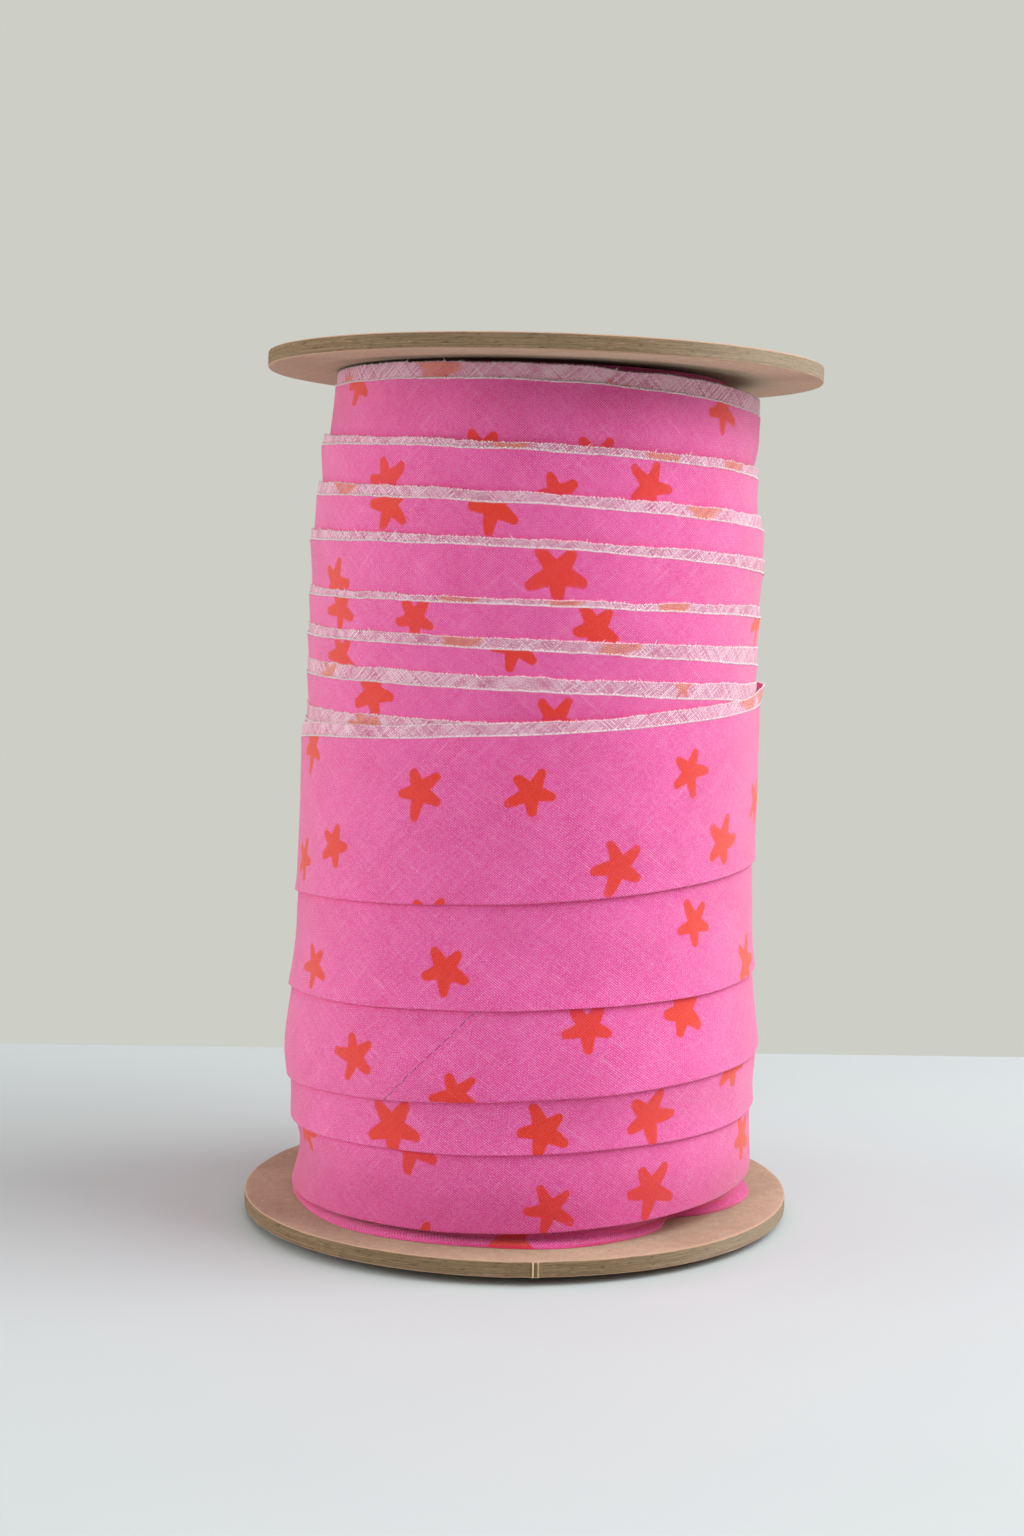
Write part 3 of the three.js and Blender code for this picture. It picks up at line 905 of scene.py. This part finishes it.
def scatter(run, placed, on_strip, seed):
    """Stars of one run as arrays: middles along and across the flat strip, size, tilt and number.
    After the set places come random ones that keep clear of the rest and of all that shows in front,
    where the outermost turn shows its whole height."""
    chance = np.random.default_rng(seed)
    spots, sizes, tilts = [], [], []
    for layer, table in ((1, placed), (-1, on_strip)):
        for turn, places in table.items():
            for side, height, *rest in places:
                angle = turn * TURN + side
                spots.append((tape_length(run, angle), layer * (height - run["fold"](angle))))
                sizes.append(rest[0] if rest else 1.0)
                tilts.append(rest[1] if len(rest) > 1 else chance.uniform(-110, -72))
    length = math.radians(run["last"] - run["first"]) * MEAN_RADIUS
    wanted = int(length * 2 * WIDTH / STAR_SHARE)
    angles = chance.uniform(run["first"], run["last"], TRIES)
    across = chance.uniform(-WIDTH - 3, WIDTH, TRIES)
    for angle, rise in zip(angles, across):
        outermost = angle > END_ANGLE - TURN - 60 and run is UP
        shown = outermost or run["shows"][0] < rise < run["shows"][1] or rise < 5 - WIDTH
        if abs(round_the_roll(angle)) < FRONT and shown:
            continue
        spot = (tape_length(run, angle), rise)
        if np.hypot(*(np.array(spots) - spot).T).min() > STAR_GAP:
            spots.append(spot)
        if len(spots) >= wanted:
            break
    along, rise = np.array(spots, float).T
    count, scattered = len(along), len(along) - len(sizes)
    size = STAR_SIZE * chance.uniform(0.94, 1.08, count) * np.concatenate([sizes, np.ones(scattered)])
    tilt = np.concatenate([tilts, chance.uniform(0, 360, scattered)])
    return {"along": along, "across": rise, "size": size, "tilt": tilt, "number": np.arange(count) + 0.5}


# -------- making the pieces

def directions(angle):
    """Unit vectors along the turn, out of the roll and straight up, at each angle."""
    cos, sin = np.cos(np.radians(angle)), np.sin(np.radians(angle))
    return vectors(cos, sin, 0.0), vectors(sin, -cos, 0.0), np.array([0.0, 0.0, 1.0])


def unit(ways):
    """The vectors at length 1."""
    return ways / np.linalg.norm(ways, axis=1)[:, None]


def thread_roots(chance):
    """Where each loose thread leaves the cloth: its angle, radius and height, how far it leans along
    the edge and away from it, and whether it is on the inner, paler layer."""
    rows = []
    layers = ((1, 0.24, WIDTH, 0.9), (-1, 0.34, WIDTH + 1, 0))  # limb, spacing, across, side
    for run, first, last in ((DOWN, DOWN_START + 40, 7 * TURN + 250), (UP, END_ANGLE - TURN, END_ANGLE)):
        for limb, spacing, edge, side in layers:
            turn = math.degrees(spacing / MEAN_RADIUS)
            angle = np.arange(first, last, turn)
            angle = angle + chance.uniform(-0.4, 0.4, len(angle)) * turn
            radius, height, _ = cloth_point(run, angle, limb, edge, side)
            lean = np.where(chance.random(len(angle)) < 0.5, 1.0, -1.0) * chance.uniform(0.5, 1.1, len(angle))
            rows.append(np.broadcast_arrays(angle, radius, height, lean, 1.0, limb < 0))
    cut = np.arange(0.6, WIDTH, 0.45)
    for limb in (1, -1):
        radius, height, _ = cloth_point(UP, np.full(len(cut), END_ANGLE), limb, cut, 0)
        rise = np.where(chance.random(len(cut)) < 0.5, 1.0, -1.0)
        rows.append(np.broadcast_arrays(END_ANGLE, radius, height, 1.0, rise, limb < 0))
    return [np.concatenate(column) for column in zip(*rows)]


def raw_thread_ends():
    """Thread ends along the raw edges and the cut: a slim three-sided spindle for each, rooted in the
    cloth and leaning about 45 degrees to one side or the other as the bias cut leaves it.  On the
    outer layer they lie on the printed face and reach over the edge."""
    chance = np.random.default_rng(31)
    angle, radius, height, lean, rise, pale = thread_roots(chance)
    count = len(angle)
    long_ones = 0.015  # share of the threads
    length = chance.uniform(0.22, 0.62, count) * np.where(chance.random(count) < long_ones, 2.6, 1.0)
    length = np.where(pale, length, length * 0.8)
    along, out, up = directions(angle)
    way = unit(along * lean[:, None] + up * rise[:, None] + out * chance.uniform(-0.25, 0.15, count)[:, None])
    side = unit(np.cross(out, way))
    third = np.cross(way, side)
    ahead = np.where(pale, 0.0, 0.14)[:, None] * MM
    behind = np.where(pale, 0.2, 0.45)[:, None] * MM
    thick = np.where(pale, 0.13, 0.10)[:, None] * MM
    edge = on_roll(angle, radius, height) + way * ahead
    corners = [edge - way * behind]
    for around in 2 * math.pi * np.arange(3) / 3 + math.pi / 6:
        corners.append(edge + (side * math.cos(around) + third * math.sin(around)) * thick)
    corners.append(edge + way * length[:, None] * MM)
    faces = np.array([1, 2, 4, 2, 3, 4, 3, 1, 4, 2, 1, 0, 3, 2, 0, 1, 3, 0])
    index = (faces + 5 * np.arange(count)[:, None]).ravel()
    mesh = closed_mesh("raw_thread_ends", np.stack(corners, 1), index, 3)
    values = np.zeros((count, 5, 3), np.float32)
    values[:, :, 0] = 0, 0.5, 0.5, 0.5, 1
    values[:, :, 1] = chance.random(count)[:, None]
    values[:, :, 2] = pale[:, None]
    write_vectors(mesh, "thread", "POINT", values)
    return show(mesh, "printed_cotton", "thread ends", crease=180)


def join_stitches():
    """Small stitches along the join: each is a long ellipsoid that lies in the groove."""
    chance = np.random.default_rng(41)
    across = np.arange(0.8, 31.4, 1.5)
    count = len(across)
    angle = SEAM_ANGLE + np.degrees(across / MEAN_RADIUS)
    radius, height, _ = cloth_point(UP, angle, 1, across, 1)
    along, out, up = directions(angle)
    slope = np.radians(45 + chance.uniform(-9, 9, count))[:, None]
    way = along * np.cos(slope) + up * np.sin(slope)
    side = np.cross(way, out)
    rings, around = 7, 8
    polar = np.linspace(0.08, math.pi - 0.08, rings)[:, None]
    turned = np.linspace(0, 2 * math.pi, around, endpoint=False)[None, :]
    ball = vectors(np.cos(polar), np.sin(polar) * np.cos(turned), np.sin(polar) * np.sin(turned))
    middle = on_roll(angle, radius - 0.03, height)[:, None, None]
    half = chance.uniform(0.42, 0.55, count)[:, None, None, None]
    wide, thick = 0.10, 0.08  # half widths of a stitch
    points = middle + MM * (ball[None, ..., :1] * half * way[:, None, None]
                            + ball[None, ..., 1:2] * wide * side[:, None, None]
                            + ball[None, ..., 2:] * thick * out[:, None, None])
    quads = grid_quads(rings, around)
    ends = np.array([np.arange(around)[::-1], np.arange(around) + (rings - 1) * around])
    stitch = np.concatenate([quads.ravel(), ends.ravel()])
    corners = (stitch + rings * around * np.arange(count)[:, None]).ravel()
    sizes = np.tile([4] * len(quads) + [around] * 2, count)
    mesh = closed_mesh("join_stitches", points, corners, sizes)
    write_uv(mesh, "tape", vectors(ball[..., 0] * 0.5 + across[:, None, None], turned * 0.1), corners)
    return show(mesh, "printed_cotton", "stitches", crease=80)


def inner_windings():
    """The windings inside the first turn that shows: a solid of revolution about the leaning axis,
    with the edge of one more turn standing a little below the top disc."""
    angle = np.arange(0, 360, 1.5)
    top = ceiling(angle, LEDGE_RADIUS)
    profile = [
        (0.0, 3.6), (34.0, 3.6), (36.0, 4.0), (36.5, 14.0), (41.0, 26.0), (41.6, 60.0), (41.6, 120.0),
        (41.8, 150.0), (41.9, 160.0), (42.0, 164.0),
        (42.0, top - 3.0), (41.99, top - 2.4), (41.85, top - 2.25), (41.6, top - 2.25), (41.5, top - 2.4),
        (41.45, top - 4.0), (38.4, top - 4.0), (38.1, top - 3.7), (38.0, top - 0.6), (37.7, top - 0.3),
        (0.0, top - 0.3),
    ]
    radii = np.array([radius for radius, _ in profile])[:, None]
    heights = np.stack([np.broadcast_to(height, angle.shape) for _, height in profile])
    corners = grid_quads(*heights.shape).ravel()
    mesh = closed_mesh("inner_windings", on_roll(angle, radii, heights), corners)
    write_uv(mesh, "tape", vectors(np.radians(angle) * LEDGE_RADIUS, heights), corners)
    write_vectors(mesh, "star", "CORNER", np.full(3 * len(corners), NO_STAR, np.float32))
    weld(mesh)
    return show(mesh, "printed_cotton", "printed face")


def board_profile():
    """Radius and height of the board's section, from the middle of its underside round the rim to
    the middle of its upper face, and how many of its points lie on one face."""
    flat = [0.0, 18.0, 34.0, 45.0, 52.0, 55.5]
    corner = 0.32
    bend = np.radians(np.linspace(0, 90, 5))
    low = [(DISC_RADIUS - corner + corner * math.sin(t), corner - corner * math.cos(t)) for t in bend]
    rim = [(DISC_RADIUS, z) for z in np.linspace(corner, BOARD - corner, 11)[1:-1]]
    half = [(radius, 0.0) for radius in flat] + low
    return half + rim + [(radius, BOARD - z) for radius, z in reversed(half)], len(flat)


def board_disc(name, node, middle, tilt, nib, lift, seed):
    """Chipboard disc: a profile with rounded corners carried round the rim.  The rim's radius
    wavers by a few hundredths where the die tore the plies, and outside the windings the board
    lifts a little; a nib, where there is one, is a low bump with two thin ridges."""
    degrees = np.arange(0, 360, 0.6)
    if nib:
        fine = nib["angle"] + np.arange(-1.8, 1.8, 0.06)
        degrees = np.concatenate([degrees[np.abs(degrees - nib["angle"]) > 1.81], fine])
    degrees = np.sort(degrees)
    arc = np.radians(degrees) * DISC_RADIUS
    _, out, up = directions(degrees)
    profile, face = board_profile()
    rings = []
    for number, (radius, z) in enumerate(profile):
        push = waver(arc, 9, 0.03, seed + number // 2) + waver(arc, 1.6, 0.035, seed + 50 + number)
        if nib:
            off = arc - math.radians(nib["angle"]) * DISC_RADIUS
            ridges = sum(height * bell(off, place, RIDGE_WIDTH) for place, height in nib["ridges"])
            push = push + bell(off, 0, nib["half_width"]) * nib["height"]
            push = push + ridges * smooth_step(BOARD, BOARD - 0.8, z)
        reach = radius + smooth_step(DISC_RADIUS - 1.0, DISC_RADIUS - 0.2, radius) * push
        warp = lift * smooth_step(50, DISC_RADIUS, radius) * (1 + waver(arc, 90, 0.4, seed + 7))
        rings.append(out * reach[:, None] + up * (z + warp - BOARD / 2)[:, None])
    turn = Matrix.Rotation(tilt, 3, "Y")
    points = np.stack(rings) @ np.array(turn).T + middle
    corners = grid_quads(len(profile), len(arc)).ravel()
    mesh = closed_mesh(name, points * MM, corners)
    write_uv(mesh, "board", vectors(arc, np.array([z for _, z in profile])[:, None]), corners)
    row = np.arange(len(corners) // 4) // len(arc)
    on_rim = (row > face) & (row < len(profile) - face - 2)
    mesh.polygons.foreach_set("material_index", on_rim.astype(np.int32))
    weld(mesh)
    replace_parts(show(mesh, "chipboard", "board face", "board rim", crease=40), node)


# -------- floor, light and camera

def table_top():
    """Plain pale table top that ends behind the roll.  The roll stands on a slight rise that its
    bottom board hides: a flat round whose side slopes down to the table.  Sizes are in metres."""
    width, near, far, drop = 1.6, -1.4, 0.160, 1.3 * MM
    flat, foot, count = 38 * MM, 46 * MM, 48
    _, round_it, up = directions(np.arange(count) * TURN / count)
    sheet = [(-width, near, -drop), (width, near, -drop), (width, far, -drop), (-width, far, -drop)]
    points = np.concatenate([sheet, round_it * foot - up * drop, round_it * flat])
    slope = 4 + grid_quads(2, count)
    corners = np.concatenate([np.arange(4), slope.ravel(), 4 + count + np.arange(count)])
    mesh = closed_mesh("table_top", points, corners, np.array([4] * (count + 1) + [count]))
    mesh.materials.append(MATERIALS["table"])
    add_object("table_top", mesh)


def backdrop():
    """Plain pale wall all round, far off.  It is only looked at; the room's light is the world's."""
    mesh = bpy.data.meshes.new("wall")
    shape = bmesh.new()
    bmesh.ops.create_icosphere(shape, subdivisions=3, radius=4.0)
    bmesh.ops.reverse_faces(shape, faces=shape.faces)
    shape.to_mesh(mesh)
    shape.free()
    wall = bpy.data.materials.new("wall paint")
    wall.use_nodes = True
    nodes = wall.node_tree.nodes
    nodes.clear()
    glow, out = (nodes.new("ShaderNode" + kind) for kind in ("Emission", "OutputMaterial"))
    glow.inputs["Color"].default_value = paint(205, 206, 198)
    wall.node_tree.links.new(glow.outputs[0], out.inputs["Surface"])
    mesh.materials.append(wall)
    piece = add_object("wall", mesh)
    for kind in ("diffuse", "glossy", "transmission", "volume_scatter", "shadow"):
        setattr(piece, "visible_" + kind, False)


def room_light(red, green, blue, strength):
    """Even light from all round."""
    world = bpy.data.worlds.new("room")
    world.use_nodes = True
    background = world.node_tree.nodes["Background"]
    background.inputs["Color"].default_value = paint(red, green, blue)
    background.inputs["Strength"].default_value = strength
    bpy.context.scene.world = world


DAYLIGHT = (0.97, 1.0, 1.04)


def soft_box(name, place, size, power, colour=(1, 1, 1)):
    """Large soft light at a place, aimed at the middle of the roll.  Metres and watts."""
    light = bpy.data.lights.new(name, "AREA")
    light.shape = "RECTANGLE"
    light.size, light.size_y = size
    light.energy = power
    light.color = colour
    lamp = add_object(name, light)
    lamp.location = place
    lamp.rotation_euler = (Vector((0, 0, 0.1)) - Vector(place)).to_track_quat("-Z", "Y").to_euler()


def camera():
    """Camera in front of the roll.  Its three axes come from its yaw, pitch and roll; its place is in
    millimetres."""
    yaw, pitch, roll = -0.0008, math.radians(4.604), math.radians(0.744)
    ahead = Vector((math.sin(yaw) * math.cos(pitch), math.cos(yaw) * math.cos(pitch), -math.sin(pitch)))
    right = ahead.cross(Vector((0, 0, 1))).normalized()
    up = right.cross(ahead)
    x = math.cos(roll) * right + math.sin(roll) * up
    y = -math.sin(roll) * right + math.cos(roll) * up
    lens = bpy.data.cameras.new("camera")
    lens.sensor_fit = "VERTICAL"
    lens.sensor_width = lens.sensor_height = 36
    lens.lens = 53.08
    lens.clip_start, lens.clip_end = 0.01, 20
    eye = add_object("camera", lens)
    place = Matrix((x, y, -ahead)).transposed().to_4x4()
    place.translation = Vector((-1.306, -473.12, 129.94)) * MM
    eye.matrix_world = place
    bpy.context.scene.camera = eye


wound = [wound_strip(DOWN, scatter(DOWN, DOWN_STARS, DOWN_STRIP_STARS, 11)),
         wound_strip(UP, scatter(UP, UP_STARS, UP_STRIP_STARS, 12))]
for piece in [*wound, inner_windings(), raw_thread_ends(), join_stitches()]:
    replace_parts(piece, "binding_roll")
board_disc("bottom_board", "disc_bottom", np.array([0, 0, BOARD / 2]), 0, NIB, 0.3, 100)
board_disc("top_board", "disc_top", TOP_MIDDLE, TOP_TILT, None, 0, 300)

table_top()
room_light(205, 206, 203, strength=0.36)
backdrop()
soft_box("window_right", (0.85, -0.15, 0.75), (0.9, 0.8), 12.4, DAYLIGHT)
soft_box("skylight_right", (0.6, -0.1, 1.0), (0.9, 0.8), 3.4, DAYLIGHT)
soft_box("window_left", (-1.0, -0.05, 0.28), (0.9, 0.5), 6.9)
soft_box("above", (0.0, 0.35, 1.2), (1.0, 0.8), 3.3)
soft_box("room_front", (0.0, -1.1, 1.2), (1.6, 1.2), 7.4)
bpy.context.scene.view_settings.view_transform = "Standard"
camera()
